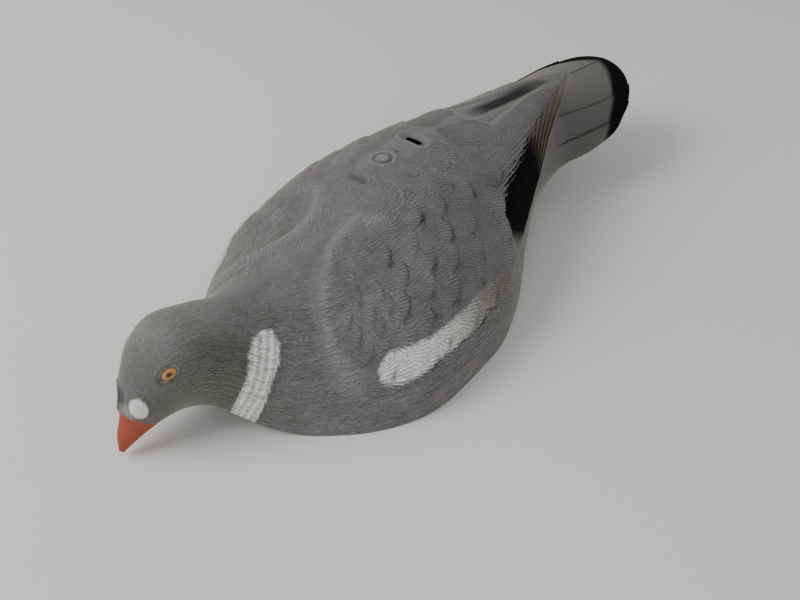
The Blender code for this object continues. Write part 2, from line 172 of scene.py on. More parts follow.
def curve_value(x, knots, values):
    """Read a smooth curve through the knots, with gentler slopes where it turns."""
    knots = np.asarray(knots, float)
    values = np.asarray(values, float)
    gap = np.diff(knots)
    rate = np.diff(values) / gap
    slope = np.empty_like(values)
    slope[0] = rate[0]
    slope[-1] = rate[-1]
    slope[1:-1] = (rate[:-1] * gap[1:] + rate[1:] * gap[:-1]) / (gap[:-1] + gap[1:])
    slope[1:-1] = np.where(rate[:-1] * rate[1:] <= 0.0, 0.3 * slope[1:-1], slope[1:-1])
    i = np.clip(np.searchsorted(knots, x, side="right") - 1, 0, len(knots) - 2)
    t = (x - knots[i]) / gap[i]
    start = (2 * t**3 - 3 * t**2 + 1) * values[i] + (t**3 - 2 * t**2 + t) * gap[i] * slope[i]
    end = (3 * t**2 - 2 * t**3) * values[i + 1] + (t**3 - t**2) * gap[i] * slope[i + 1]
    return start + end


def skin_point(station, turn):
    """Give the smooth skin in millimetres: station 0 to LAST, turn -1 to 1 from rim to rim."""
    knots = np.arange(LAST + 1)
    row = Station(*(curve_value(station, knots, TABLE[:, column]) for column in range(TABLE.shape[1])))
    row = row._replace(rim_z=np.maximum(row.rim_z, 0.0))
    half_width = np.maximum(row.half_width, row.rim_half)
    waist = np.clip(row.waist, 0.0, 0.9)
    side = np.abs(turn)
    knee = 1.0 - 0.8 * waist
    angle = np.clip(1.0 - side / knee, 0.0, 1.0) * pi / 2
    tuck = np.clip((side - knee) / np.maximum(1.0 - knee, 1e-6), 0.0, 1.0)
    above = side <= knee
    x_above = half_width * np.cos(angle) ** row.point
    x_below = row.rim_half + (half_width - row.rim_half) * np.cos(tuck * pi / 2)
    height = np.where(above, waist + (1.0 - waist) * np.sin(angle) ** row.point, waist * (1.0 - tuck))
    x = np.sign(turn) * np.where(above, x_above, x_below) + row.sway
    y = row.rim_y + (row.crest_y - row.rim_y) * height
    z = row.rim_z + (row.crest_z - row.rim_z) * height
    return np.stack([x, y, z], axis=-1)


def skin_normal(station, turn):
    """Give the outward direction of the smooth skin."""
    step = 0.004
    ahead = skin_point(np.minimum(station + step, LAST), turn) - skin_point(np.maximum(station - step, 0),
                                                                            turn)
    across = skin_point(station, np.minimum(turn + step, 1)) - skin_point(station,
                                                                          np.maximum(turn - step, -1))
    normal = np.cross(across, ahead)
    return normal / np.maximum(np.linalg.norm(normal, axis=-1, keepdims=True), 1e-9)


def unrolled(station, points):
    """Give each grid point's place on the unrolled skin: along the crest line and down from it."""
    steps = np.linalg.norm(np.diff(points, axis=1), axis=-1)
    reach = np.concatenate([np.zeros((len(points), 1)), np.cumsum(steps, axis=1)], axis=1)
    down = np.abs(reach - reach[:, points.shape[1] // 2, None])
    along = curve_value(station, np.arange(LAST + 1), TABLE[:, 0])
    return along, down


def line_distance(along, down, line):
    """Give the distance from an open line."""
    nearest = np.full(np.shape(along), 1e9)
    for start, end in zip(np.array(line[:-1], float), np.array(line[1:], float)):
        edge = end - start
        share = ((along - start[0]) * edge[0] + (down - start[1]) * edge[1]) / (edge @ edge)
        share = np.clip(share, 0.0, 1.0)
        nearest = np.minimum(nearest, np.hypot(along - start[0] - share * edge[0],
                                               down - start[1] - share * edge[1]))
    return nearest


def outline_distance(along, down, outline):
    """Give the distance inside (positive) or outside (negative) a closed outline."""
    inside = np.zeros(np.shape(along), bool)
    for start, end in zip(outline, outline[1:] + outline[:1]):
        crosses = (start[1] > down) != (end[1] > down)
        rise = end[1] - start[1] if end[1] != start[1] else 1e-9
        inside ^= crosses & (along < start[0] + (down - start[1]) * (end[0] - start[0]) / rise)
    nearest = line_distance(along, down, outline + outline[:1])
    return np.where(inside, nearest, -nearest)


def shingle(along, down, groups, seed):
    """Lay feathers like shingles and give, for the one on top: height, distance to its edge, barb phase, barb
    strength, the painted shadow line at its tip, and last the painted shadows beside the tips. The barbs
    stop where two feathers meet.
    """
    rng = np.random.default_rng(seed)
    number = 0.0
    height = np.zeros(along.shape)
    tip_shadows = np.zeros(along.shape)
    layers = np.zeros((5, *along.shape))
    layers[0] = 99.0
    for group in groups:
        for tip_along, tip_down in group.tips:
            angle = np.radians(group.angle + rng.uniform(-5, 5))
            width = group.width * rng.uniform(0.92, 1.08)
            rise = group.rise * rng.uniform(0.9, 1.35)
            shade, skew = rng.uniform(-1, 1), rng.uniform(-0.35, 0.35)
            back = (tip_along - along) * np.cos(angle) + (tip_down - down) * np.sin(angle)
            aside = (down - tip_down) * np.cos(angle) - (along - tip_along) * np.sin(angle)
            near = (back > -2) & (back < group.length) & (np.abs(aside) < width + 1)
            blunt = back + skew * aside * 0.5
            inset = np.where(blunt < width, width - np.hypot(width - blunt, aside), width - np.abs(aside))
            rooted = np.clip(1.0 - back / group.length, 0.0, 1.0)
            sides = 1.0 - smooth(np.abs(aside) / width, 0.25, 1.0) * smooth(back, 0.2 * width, 1.3 * width)
            level = rise * rooted * sides * smooth(inset, -0.2, 1.5) * near
            root = np.interp(group.length, (17.0, 23.0, 32.0), (2.2, 3.2, 5.0)) * width
            turn = np.arctan2(aside, np.maximum(root - back, 0.25 * root))
            reach = np.hypot(aside, np.maximum(root - back, 0.25 * root))
            fan = turn * root * (1.0 + 0.1 * shade)
            strength = group.barbs * smooth(reach, 0.2 * root,
                                            0.42 * root) * (0.7 + 0.3 * smooth(inset, 6.0, 3.0))
            # How dark this feather's painted tip shadows are
            shade_depth = rng.uniform(0.0, 1.1) * (0.6 if group.length < 18 else 1.0)
            mark = smooth(np.abs(aside - 0.25 * width + skew * 3.0), 0.6 * width, 0.25 * width) * shade_depth
            mark = np.maximum(mark, 0.4) * smooth(back, 1.1 * width, 0.5 * width)
            tip_shadow = np.exp(-((aside - 0.35 * width) / (0.34 * width)) ** 2 - ((back - 0.7) / 1.3) ** 2)
            tip_shadows = np.maximum(tip_shadows, tip_shadow * shade_depth)
            wins = level > np.maximum(height, 0.02)
            height = np.where(wins, level, height)
            number += 1.0
            layers = np.where(wins, np.stack([inset, fan, strength, mark, np.full(along.shape, number)]),
                              layers)
    border = np.zeros(along.shape, bool)
    for axis, step in ((0, 1), (0, -1), (1, 1), (1, -1)):
        border |= np.roll(layers[4], step, axis=axis) != layers[4]
    layers[2] = np.where(border, 0.0, layers[2])
    layers[4] = tip_shadows
    return height, layers


def slanted(along, down, groups, pitch_angle):
    """Give straight slanted barbs for the long feathers."""
    angle = np.radians(groups[0].angle + pitch_angle)
    return down * np.cos(angle) - along * np.sin(angle)


def tail_relief(along, down):
    """Give the overlapping tail feathers: each is a low slope that ends in a small step."""
    fan = tail_fan(along, down)
    height = np.zeros(np.shape(along))
    for inner, outer in zip(TAIL_LINES, TAIL_LINES[1:] + (60.0,)):
        share = (fan - inner) / (outer - inner)
        here = (share >= 0.0) & (share < 1.0)
        height = np.where(here, TAIL_FEATHER_STEP * (1.0 - share), height)
    return height * smooth(along, TAIL_FROM, TAIL_FROM + 25.0)


def tail_fan(along, down):
    """Give the place across the spread tail, so that each feather's edge has one value along its length."""
    spread = 0.86 + 0.14 * smooth(along, 295.0, 365.0)
    return down / spread - 4.5 * smooth(along, 345.0, 298.0) * smooth(along, 275.0,
                                                                      290.0) * smooth(down, 28.0, 42.0)


def back_marks(x, y):
    """Give the relief of the ring, the blind slot and the dished lips of the slot, with shade and light."""
    radius = np.hypot(x, y - RING_AT)
    height = 0.45 * smooth(radius, 4.2, 3.0) - 0.55 * np.exp(-((radius - 4.7) / 0.75) ** 2)
    height += 0.35 * np.exp(-((radius - 6.2) / 0.8) ** 2) - 0.35 * np.exp(-(radius / 1.0) ** 2)
    shade = 0.6 * np.exp(-((radius - 4.7) / 0.75) ** 2)
    shade = np.maximum(shade, smooth(np.hypot(x - 1.5, y - 185.5), 1.4, 0.6))
    reach = np.hypot(np.maximum(np.abs(x) - 5.0, 0.0), y - SLOT_AT)
    height += 0.5 * np.exp(-((reach - 5.0) / 1.1) ** 2) - 1.1 * smooth(reach, 4.4, 1.8)
    blind = np.hypot(np.maximum(np.abs(x) - 3.9, 0.0), y - BLIND_SLOT_AT)
    height += 0.3 * np.exp(-((blind - 3.0) / 0.8) ** 2) - BLIND_SLOT_DEPTH * smooth(blind, 2.2, 0.9)
    shade = np.maximum(shade, 0.5 * np.maximum(smooth(reach, 2.9, 1.4), smooth(blind, 1.9, 0.9)))
    pale = np.maximum(0.8 * smooth(radius, 3.6, 2.4), np.exp(-((radius - 6.2) / 0.8) ** 2))
    pale = np.maximum(pale, 0.6 * np.exp(-((reach - 5.0) / 1.0) ** 2))
    return height, shade, pale


def eye_frame(side):
    """Give the middle of an eye on the skin, with the directions of its long axis, short axis and outward."""
    target = np.array((EYE_PLACE[0] * side + HEAD_SWAY, *EYE_PLACE[1:]))
    station, turn = np.meshgrid(np.linspace(3.5, 6.5, 121), np.linspace(0.1, 0.9, 161) * side, indexing="ij")
    points = skin_point(station, turn)
    nearest = np.unravel_index(np.argmin(np.linalg.norm(points - target, axis=-1)), station.shape)
    outward = skin_normal(station, turn)[nearest]
    long_axis = np.array((EYE_LONG[0] * side, *EYE_LONG[1:]))
    long_axis -= outward * (long_axis @ outward)
    long_axis /= np.linalg.norm(long_axis)
    return points[nearest], long_axis, np.cross(outward, long_axis), outward


def head_marks(points):
    """Give the relief round the eyes and ceres, with the distances from the eyes and ceres."""
    eye = np.full(points.shape[:-1], 99.0)
    cere = np.full(points.shape[:-1], 99.0)
    for side in (1, -1):
        place, long_axis, short_axis, outward = eye_frame(side)
        away = points - place
        reach = np.hypot(away @ long_axis / EYE_HALF[0], away @ short_axis / EYE_HALF[1])
        eye = np.minimum(eye, np.where(np.abs(away @ outward) < 6.0, reach, 99.0))
    for place in CERE_PLACES:
        reach = np.linalg.norm((points - place) / (0.78, 0.78, 1.15), axis=-1)
        cere = np.minimum(cere, reach - 1.6 * smooth(points[..., 0], -8.5, -11.0))
    height = -1.1 * smooth(eye, 1.45, 1.15) + 0.25 * np.exp(-((eye - 1.8) / 0.4) ** 2)
    height += CERE_RISE * np.sqrt(np.clip(1.0 - (np.abs(cere) / (CERE_RADIUS + 0.9)) ** 2, 0.0, 1.0))
    return height, eye, cere


def slope_to_tips(height, along, down):
    """Give how steeply the relief falls in the direction in which the feather tips point."""
    rows = np.gradient(height, axis=0) / np.maximum(np.gradient(along, axis=0), 1e-3)
    spread = np.gradient(down, axis=1)
    columns = np.gradient(height, axis=1) / np.where(np.abs(spread) < 0.05, 1e3, spread)
    return -(rows * np.cos(0.6) + columns * np.sin(0.6))


def carve(points, along, down):
    """Give the relief in millimetres and the masks that the paint follows."""
    inside = outline_distance(along, down, WING_OUTLINE)
    fade_in = 1.0 - smooth(along, 172.0, 138.0) * smooth(down, 16.0, 2.0)
    wing = smooth(inside, -WING_STEP / 2, WING_STEP / 2) * fade_in
    front = smooth(along, 158.0, 146.0) * smooth(down, 78.0, 58.0)
    lip = np.exp(-(line_distance(along, down, FRONT_RIDGE) / 3.4) ** 2) * front
    height = np.interp(along, (215.0, 255.0), WING_RISE) * wing + LIP_RISE * lip
    flight = smooth(below(along, down), -0.5, 0.7) * smooth(along, 208.0, 214.0) * smooth(inside, -1.0, 0.5)
    height -= FLIGHT_SINK * flight

    coverts, layers = shingle(along, down, COVERT_GROUPS, 3)
    long_vanes, long_layers = shingle(along, down, LONG_GROUPS, 5)
    long_layers[1] = slanted(along, down, LONG_GROUPS, 5.0)
    long_layers[2] = 0.12 + smooth(down + 0.4 * along, 126.0,
                                   133.0) * (0.2 + 0.85 * smooth(along, 276.0, 250.0))
    edge, phase, barbs, tip_marks, _ = np.where(coverts > long_vanes, layers, long_layers)
    bare_front = smooth(along, 160.0, 148.0) * smooth(inside, 12.5, 8.0) * smooth(down, 76.0, 68.0)
    feathers = np.maximum(coverts, long_vanes) * (1.0 - flight) * wing * (1.0 - bare_front)
    barbs *= 1.0 - bare_front
    height += feathers

    quill = (inside % QUILL_PITCH) / QUILL_PITCH
    height += 0.6 * quill * flight * smooth(inside, 0.5, 2.0)
    scales, patch = neck_scales(along, down)
    height += scales
    on_ridge = (along > 130) & (along < 220)
    plain = on_ridge & (np.abs(points[..., 0]) < 9.5) & (np.abs(points[..., 1] - 180.0) < 28.0)
    barbs = np.where(plain, 0.0, barbs)
    height -= GROOVE_SINK * smooth(along, 240.0, 252.0) * smooth(along, 335.0, 300.0) * smooth(down, 8.0, 2.0)
    height += tail_relief(along, down) * (1.0 - wing)
    back_relief, back_shade, back_highlight = (np.where(on_ridge, layer, 0.0) for layer in back_marks(
        points[..., 0], points[..., 1]))
    height += back_relief
    marks, eye, cere = head_marks(points)
    height += marks
    masks = {"wing": wing, "inside": inside, "flight": flight, "edge": edge, "phase": phase, "barbs": barbs,
             "tips": tip_marks, "tip_shadows": layers[4], "lip": lip, "cere": cere, "eye": eye, "patch": patch,
             "feathers": feathers, "back_shade": back_shade, "back_highlight": back_highlight}
    return height, masks


def neck_scales(along, down):
    """Give the raised white neck patch, and how far inside its outline a point is."""
    patch = outline_distance(along, down, NECK_PATCH)
    return 0.5 * smooth(patch, -0.6, 1.6), patch


def outer_stations():
    """Space the rows of the outer skin: closer together over the wings than over the tail."""
    knots = np.arange(LAST + 1)
    dense = np.linspace(0.0, LAST, 4001)
    along = curve_value(dense, knots, TABLE[:, 0])
    head = np.interp(np.linspace(0.0, 1.0, HEAD_ROWS, endpoint=False), (0.0, 0.12, 0.22, 0.65, 1.0),
                     (0.0, 1.9, 2.8, 6.2, 9.0))
    head[np.argmin(np.abs(head - BEAK_SOLID_TO))] = BEAK_SOLID_TO
    wings = np.interp(np.linspace(along[np.searchsorted(dense, 9.0)], 300.0, WING_ROWS, endpoint=False),
                      along, dense)
    tail = np.interp(np.linspace(300.0, TABLE[-1, 0], TAIL_ROWS), along, dense)
    return np.concatenate([head, wings, tail])


def add_grid(mesh, points):
    """Add a grid of points and the faces between them, and give back its vertices."""
    verts = [[mesh.verts.new(Vector(point) * MM) for point in line] for line in points]
    for line, following in zip(verts, verts[1:]):
        for i in range(len(line) - 1):
            mesh.faces.new((line[i], following[i], following[i + 1], line[i + 1]))
    return verts


def zip_edges(mesh, outer, inner):
    """Fill the strip between two rows of vertices that have different counts."""
    def shares(verts):
        lengths = [0.0]
        for first, second in zip(verts, verts[1:]):
            lengths.append(lengths[-1] + (second.co - first.co).length)
        return [length / lengths[-1] for length in lengths]

    outer_share, inner_share = shares(outer), shares(inner)
    i = j = 0
    while i < len(outer) - 1 or j < len(inner) - 1:
        step_outer = j == len(inner) - 1 or (i < len(outer) - 1 and outer_share[i + 1] <= inner_share[j + 1])
        if step_outer:
            mesh.faces.new((outer[i], outer[i + 1], inner[j]))
            i += 1
        else:
            mesh.faces.new((outer[i], inner[j + 1], inner[j]))
            j += 1


def linear(code):
    """Turn an sRGB hex code into the linear colour that shaders expect."""
    channels = [int(code[i:i + 2], 16) / 255 for i in (1, 3, 5)]
    return tuple(c / 12.92 if c <= 0.04045 else ((c + 0.055) / 1.055) ** 2.4 for c in channels) + (1.0,)


def add_node(tree, kind, inputs=None, **settings):
    """Add a shader node, set its fields, and set or link its inputs."""
    node = tree.nodes.new(kind)
    for name, value in settings.items():
        setattr(node, name, value)
    for key, value in (inputs or {}).items():
        socket = node.inputs[key]
        if isinstance(value, bpy.types.NodeSocket):
            tree.links.new(value, socket)
        else:
            socket.default_value = value
    return node


def new_material(name):
    """Make a material and give it with its node tree and its main shader."""
    material = bpy.data.materials.new(name)
    material.use_nodes = True
    return material, material.node_tree, material.node_tree.nodes["Principled BSDF"]


def mix(tree, factor, first, second, kind="MIX"):
    """Mix two colours and give the output socket."""
    node = add_node(tree, "ShaderNodeMix", data_type="RGBA", blend_type=kind,
                    inputs={"Factor": factor, "A": first, "B": second})
    return node.outputs["Result"]


def math(tree, operation, *values):
    """Add a math node and give its output socket."""
    node = add_node(tree, "ShaderNodeMath", operation=operation)
    for socket, value in zip(node.inputs, values):
        if isinstance(value, bpy.types.NodeSocket):
            tree.links.new(value, socket)
        else:
            socket.default_value = value
    return node.outputs[0]


def noise(tree, vector, scale, detail=2.0, roughness=0.5):
    """Add a noise and give its value; the scale is in turns per millimetre."""
    node = add_node(tree, "ShaderNodeTexNoise",
                    inputs={"Vector": vector, "Scale": scale, "Detail": detail, "Roughness": roughness})
    return node.outputs["Fac"]


def ranged(tree, value, low, high, start, end):
    """Map a value from one range to another, held at the ends."""
    return add_node(tree, "ShaderNodeMapRange", inputs={"Value": value, "From Min": low, "From Max": high,
                                                       "To Min": start, "To Max": end}).outputs[0]


def millimetres(tree):
    """Give the piece's own coordinates in millimetres."""
    place = add_node(tree, "ShaderNodeTexCoord").outputs["Object"]
    return add_node(tree, "ShaderNodeVectorMath", operation="SCALE",
                    inputs={"Vector": place, "Scale": 1000.0}).outputs["Vector"]


def mask_outputs(tree, name):
    """Split a stored colour attribute into its four fields."""
    attribute = add_node(tree, "ShaderNodeAttribute", attribute_name=name)
    parts = add_node(tree, "ShaderNodeSeparateColor", inputs={"Color": attribute.outputs["Color"]})
    return [*parts.outputs, attribute.outputs["Alpha"]]


def flocked_plumage():
    """Short grey flock with airbrushed plumage: no gloss, with a painted pale sheen where it is seen edge on."""
    material, tree, shader = new_material("flocked_polyester_coat")
    mm = millimetres(tree)
    soft_dark, wedge, far_flight, tail_zone = mask_outputs(tree, "paint")
    head, shadow, pale, waves = mask_outputs(tree, "tone")
    inset, tip, inside, cere = mask_outputs(tree, "vane")
    bar, patch, fan, flight = mask_outputs(tree, "lines")
    flock = noise(tree, mm, 1.7, 3.0, 0.6)
    clumps = noise(tree, mm, 0.5, 3.0, 0.55)
    clouds = ranged(tree, noise(tree, mm, 0.07, 4.0, 0.65), 0.35, 0.65, 0.0, 1.0)
    skin_map = add_node(tree, "ShaderNodeUVMap", uv_map="skin").outputs["UV"]
    skin = add_node(tree, "ShaderNodeSeparateXYZ", inputs={"Vector": skin_map})
    along = skin.outputs["X"]

    barb_map = add_node(tree, "ShaderNodeUVMap", uv_map="barbs").outputs["UV"]
    barb = add_node(tree, "ShaderNodeSeparateXYZ", inputs={"Vector": barb_map})
    unrest = math(tree, "SUBTRACT", clumps, 0.5)
    turns = math(tree, "MULTIPLY", barb.outputs["X"], 2 * pi / BARB_PITCH)
    barb_wave = math(tree, "SINE", math(tree, "ADD", turns, math(tree, "MULTIPLY", unrest, 3.5)))
    barb_wave = math(tree, "MULTIPLY", barb_wave, barb.outputs["Y"])
    bends, wobbles, breaks = (
        math(tree, "SUBTRACT", noise(tree,
                                     add_node(tree, "ShaderNodeVectorMath", operation="MULTIPLY", inputs={
            0: skin_map, 1: (*scale, 1.0)}).outputs["Vector"], 1.0, 2.0, 0.5), 0.5)
        for scale in ((0.05, 0.09), (0.2, 0.3), (0.14, 0.45)))
    strands = math(tree, "MULTIPLY", skin.outputs["Y"], 2 * pi / STRAND_PITCH)
    strands = math(tree, "ADD", strands, math(tree, "MULTIPLY", bends, 22.0))
    strands = math(tree, "ADD", strands, math(tree, "MULTIPLY", wobbles, 13.0))
    strand_wave = math(tree, "MULTIPLY", math(tree, "SINE", strands),
                       ranged(tree, breaks, -0.12, 0.1, 0.3, 1.1))
    strand_wave = math(tree, "MULTIPLY", strand_wave, waves)

    # Fields to masks: each edge is ragged by the barbs and the flock
    rough = math(tree, "ADD", math(tree, "MULTIPLY", barb_wave, 0.35), math(tree, "MULTIPLY", unrest, 3.0))
    bar = ranged(tree, math(tree, "ADD", bar, rough), -0.9, 1.3, 0.0, 1.0)
    streaks = math(tree, "ADD", barb_wave, math(tree, "MULTIPLY", unrest, 2.5))
    white = math(tree, "MULTIPLY", bar, ranged(tree, streaks, -1.3, 0.2, 0.65, 1.0))
    white = math(tree, "MULTIPLY", white, ranged(tree, along, 152.0, 192.0, 1.0, 0.05))
    patch = ranged(tree, math(tree, "ADD", patch, math(tree, "MULTIPLY", unrest, 2.6)), -0.6, 1.2, 0.0, 1.0)
    patch = math(tree, "MULTIPLY", patch, ranged(tree, fan, 74.0, 84.0, 1.0, 0.3))
    cere = ranged(tree, math(tree, "ADD", cere, math(tree, "MULTIPLY", unrest, 2.0)), CERE_RADIUS - 0.5,
                  CERE_RADIUS + 0.7, 1.0, 0.0)
    white = math(tree, "MAXIMUM", white, math(tree, "MAXIMUM", patch, cere))
    yellowed = math(tree, "MULTIPLY", bar, ranged(tree, along, 146.0, 176.0, 0.0, 0.65))
    quill = math(tree, "FRACT", math(tree, "DIVIDE", math(tree, "ADD", inside, unrest), QUILL_PITCH))
    vane = ranged(tree, math(tree, "ABSOLUTE", math(tree, "SUBTRACT", quill, 0.5)), 0.2, 0.42, 1.0, 0.0)
    lighter = math(tree, "MULTIPLY", far_flight, ranged(tree, vane, 0.0, 1.0, 0.25, 0.85))
    fringe = math(tree, "ADD", math(tree, "MULTIPLY", fan, 0.83), math(tree, "MULTIPLY", along, 0.27))
    fringe = math(tree, "ADD", math(tree, "MULTIPLY", fringe, 2 * pi / FRINGE_PITCH),
                  math(tree, "MULTIPLY", math(tree, "ADD", unrest, wobbles), 6.0))
    fringe = math(tree, "MULTIPLY", math(tree, "SINE", fringe), ranged(tree, along, 212.0, 228.0, 0.5, 2.8))
    fringe = math(tree, "MULTIPLY", fringe, ranged(tree, bends, -0.12, 0.12, 0.4, 1.5))
    fringe = math(tree, "ADD", fringe, math(tree, "MULTIPLY", unrest, 3.0))
    fringe = math(tree, "MULTIPLY", fringe,
                  math(tree, "SUBTRACT", 1.0, math(tree, "MULTIPLY", far_flight, 0.5)))
    flight = math(tree, "ADD", flight, math(tree, "SUBTRACT", fringe, 1.2))
    wedge = math(tree, "MULTIPLY", wedge, ranged(tree, flight, ranged(tree, far_flight, 0.0, 1.0, -0.8, -3.0),
                                                 ranged(tree, far_flight, 0.0, 1.0, 1.2, 6.0), 0.0, 1.0))
    dark = math(tree, "MULTIPLY", wedge, math(tree, "SUBTRACT", 1.0, lighter))
    dark = math(tree, "MULTIPLY", dark, ranged(tree, along, 285.0, 325.0, 1.0, 0.4))
    dark = math(tree, "MAXIMUM", dark, soft_dark)
    olive = math(tree, "MULTIPLY", wedge, ranged(tree, along, 245.0, 268.0, 0.0, 0.9))
    # Painted shade: dark lines along the steps between the tail feathers
    line_gap = 99.0
    for line in TAIL_LINES:
        gap = math(tree, "ABSOLUTE", math(tree, "SUBTRACT", fan, line))
        line_gap = math(tree, "MINIMUM", line_gap, gap)
    tail_line = math(tree, "MULTIPLY", tail_zone, ranged(tree, line_gap, 0.2, 1.15, 0.75, 0.0))
    # Painted shade: a dark line at each feather's tip, where its edge steps down
    tip_line = ranged(tree, math(tree, "ABSOLUTE", math(tree, "SUBTRACT", inset, 0.7)), 0.3, 1.2, 1.0, 0.0)
    tip_line = math(tree, "MULTIPLY", math(tree, "MULTIPLY", tip_line, tip), math(tree, "SUBTRACT", 1.0, bar))
    shadow = math(tree, "MAXIMUM", shadow, math(tree, "MAXIMUM", tail_line, tip_line))

    colour = mix(tree, clouds, linear("#6d6c6a"), linear("#7d787d"))
    colour = mix(tree, math(tree, "MULTIPLY", head, 0.8), colour, linear("#5f6356"))
    # Painted shade: the coat turns darker towards the tail, where less light falls
    colour = mix(tree, ranged(tree, along, 262.0, 315.0, 0.0, 0.85), colour, linear("#5a5956"))
    # Painted highlights: lighter on the lit feather edges, the lit front ridge, the lips of the ring and slot
    # and the crown
    colour = mix(tree, math(tree, "MULTIPLY", pale, 0.55), colour, linear("#a8a5a0"))
    colour = mix(tree, white, colour, linear("#e9e6e1"))
    colour = mix(tree, math(tree, "MAXIMUM", olive, yellowed), colour, linear("#625a44"))
    colour = mix(tree, math(tree, "MULTIPLY", shadow, 0.85), colour, linear("#292624"))
    colour = mix(tree, dark, colour, linear("#0a090a"))
    speckle_and_shading = ranged(tree, flock, 0.3, 0.7, 0.68, 1.3)
    unfeathered = math(tree, "MULTIPLY", ranged(tree, barb.outputs["Y"], 0.0, 0.4, 0.34, 0.2), unrest)
    speckle_and_shading = math(tree, "MULTIPLY", speckle_and_shading, math(tree, "ADD", unfeathered, 1.0))
    # Painted light and shade: the barbs and strands are lighter on their ridges and darker in the grooves
    # between
    ridge_light_and_shade = math(tree, "ADD", math(tree, "MULTIPLY", barb_wave, 0.26),
                  math(tree, "MULTIPLY", strand_wave, 0.16))
    speckle_and_shading = math(tree, "MULTIPLY", speckle_and_shading, math(tree, "ADD", ridge_light_and_shade, 1.0))
    grey = add_node(tree, "ShaderNodeCombineColor",
                    inputs={"Red": speckle_and_shading, "Green": speckle_and_shading, "Blue": speckle_and_shading})
    colour = mix(tree, 1.0, colour, grey.outputs[0], "MULTIPLY")
    # Sheen and the edge-on paleness are kept off the black paint and the painted shade
    clear_of_black_and_shade = math(tree, "SUBTRACT", 1.0, math(tree, "MAXIMUM", dark, shadow))
    # Painted sheen: the colour turns paler where the flock is seen edge on
    facing = add_node(tree, "ShaderNodeLayerWeight", inputs={"Blend": 0.5}).outputs["Facing"]
    grazing_sheen = math(tree, "MULTIPLY", math(tree, "POWER", facing, 5.0), math(tree, "MULTIPLY", clear_of_black_and_shade, 0.6))
    colour = mix(tree, grazing_sheen, colour, linear("#b9b6a6"))
    tree.links.new(colour, shader.inputs["Base Color"])
    tree.links.new(ranged(tree, flock, 0.3, 0.7, 0.98, 0.9), shader.inputs["Roughness"])
    shader.inputs["Specular IOR Level"].default_value = 0.1
    tree.links.new(math(tree, "MULTIPLY", clear_of_black_and_shade, 0.3), shader.inputs["Sheen Weight"])
    shader.inputs["Sheen Roughness"].default_value = 0.45
    shader.inputs["Sheen Tint"].default_value = linear("#ece5d4")

    height = math(tree, "ADD", math(tree, "MULTIPLY", barb_wave, 0.26),
                  math(tree, "MULTIPLY", strand_wave, 0.46))
    height = math(tree, "ADD", height, math(tree, "MULTIPLY", flock, 0.42))
    bump = add_node(tree, "ShaderNodeBump", inputs={"Strength": 1.0, "Distance": MM, "Height": height})
    tree.links.new(bump.outputs["Normal"], shader.inputs["Normal"])
    return material


def eye_enamel():
    """Brush-painted amber iris with a dark pupil: semi-matt enamel, coloured after the eye's shape."""
    material, tree, shader = new_material("semi_matt_amber_enamel")
    place = add_node(tree, "ShaderNodeUVMap", uv_map="eye").outputs["UV"]
    mm = millimetres(tree)
    brush = math(tree, "SUBTRACT", noise(tree, mm, 1.4, 2.0), 0.5)
    middle = add_node(tree, "ShaderNodeVectorMath", operation="LENGTH", inputs={0: place}).outputs["Value"]
    middle = math(tree, "ADD", middle, math(tree, "MULTIPLY", brush, 0.5))
    colour = mix(tree, ranged(tree, middle, 1.4, 2.6, 0.0, 1.0), linear("#8e5a28"), linear("#bc8b4b"))
    colour = mix(tree, ranged(tree, middle, 3.0, 3.9, 0.0, 0.85), colour, linear("#5f3a1e"))
    colour = mix(tree, ranged(tree, middle, 0.9, 1.6, 1.0, 0.0), colour, linear("#2c1409"))
    tree.links.new(colour, shader.inputs["Base Color"])
    shader.inputs["Roughness"].default_value = 0.5
    bump = add_node(tree, "ShaderNodeBump", inputs={"Strength": 0.4, "Distance": 0.0002, "Height": brush})
    tree.links.new(bump.outputs["Normal"], shader.inputs["Normal"])
    return material


def beak_paint():
    """Brushed-on matt enamel in orange-red: thicker in places, so slightly uneven in colour and gloss."""
    material, tree, shader = new_material("matt_orange_enamel")
    mm = millimetres(tree)
    coat = ranged(tree, noise(tree, mm, 0.9, 4.0, 0.65), 0.3, 0.7, 0.0, 1.0)
    colour = mix(tree, coat, linear("#963f27"), linear("#ac5035"))
    tree.links.new(colour, shader.inputs["Base Color"])
    shader.inputs["Roughness"].default_value = 0.72
    grain = noise(tree, mm, 1.7, 3.0)
    bump = add_node(tree, "ShaderNodeBump", inputs={"Strength": 0.8, "Distance": 0.0004, "Height": grain})
    tree.links.new(bump.outputs["Normal"], shader.inputs["Normal"])
    return material


def bare_plastic():
    """Uncoated moulded polyethylene inside and on the cut rim: smooth, waxy and half matt."""
    material, tree, shader = new_material("bare_moulded_polyethylene")
    mm = millimetres(tree)
    flow = noise(tree, mm, 0.06, 3.0)
    colour = mix(tree, flow, linear("#6f7071"), linear("#7d7e7e"))
    tree.links.new(colour, shader.inputs["Base Color"])
    shader.inputs["Roughness"].default_value = 0.5
    grain = noise(tree, mm, 0.8, 2.0)
    bump = add_node(tree, "ShaderNodeBump", inputs={"Strength": 0.2, "Distance": 0.0002, "Height": grain})
    tree.links.new(bump.outputs["Normal"], shader.inputs["Normal"])
    return material


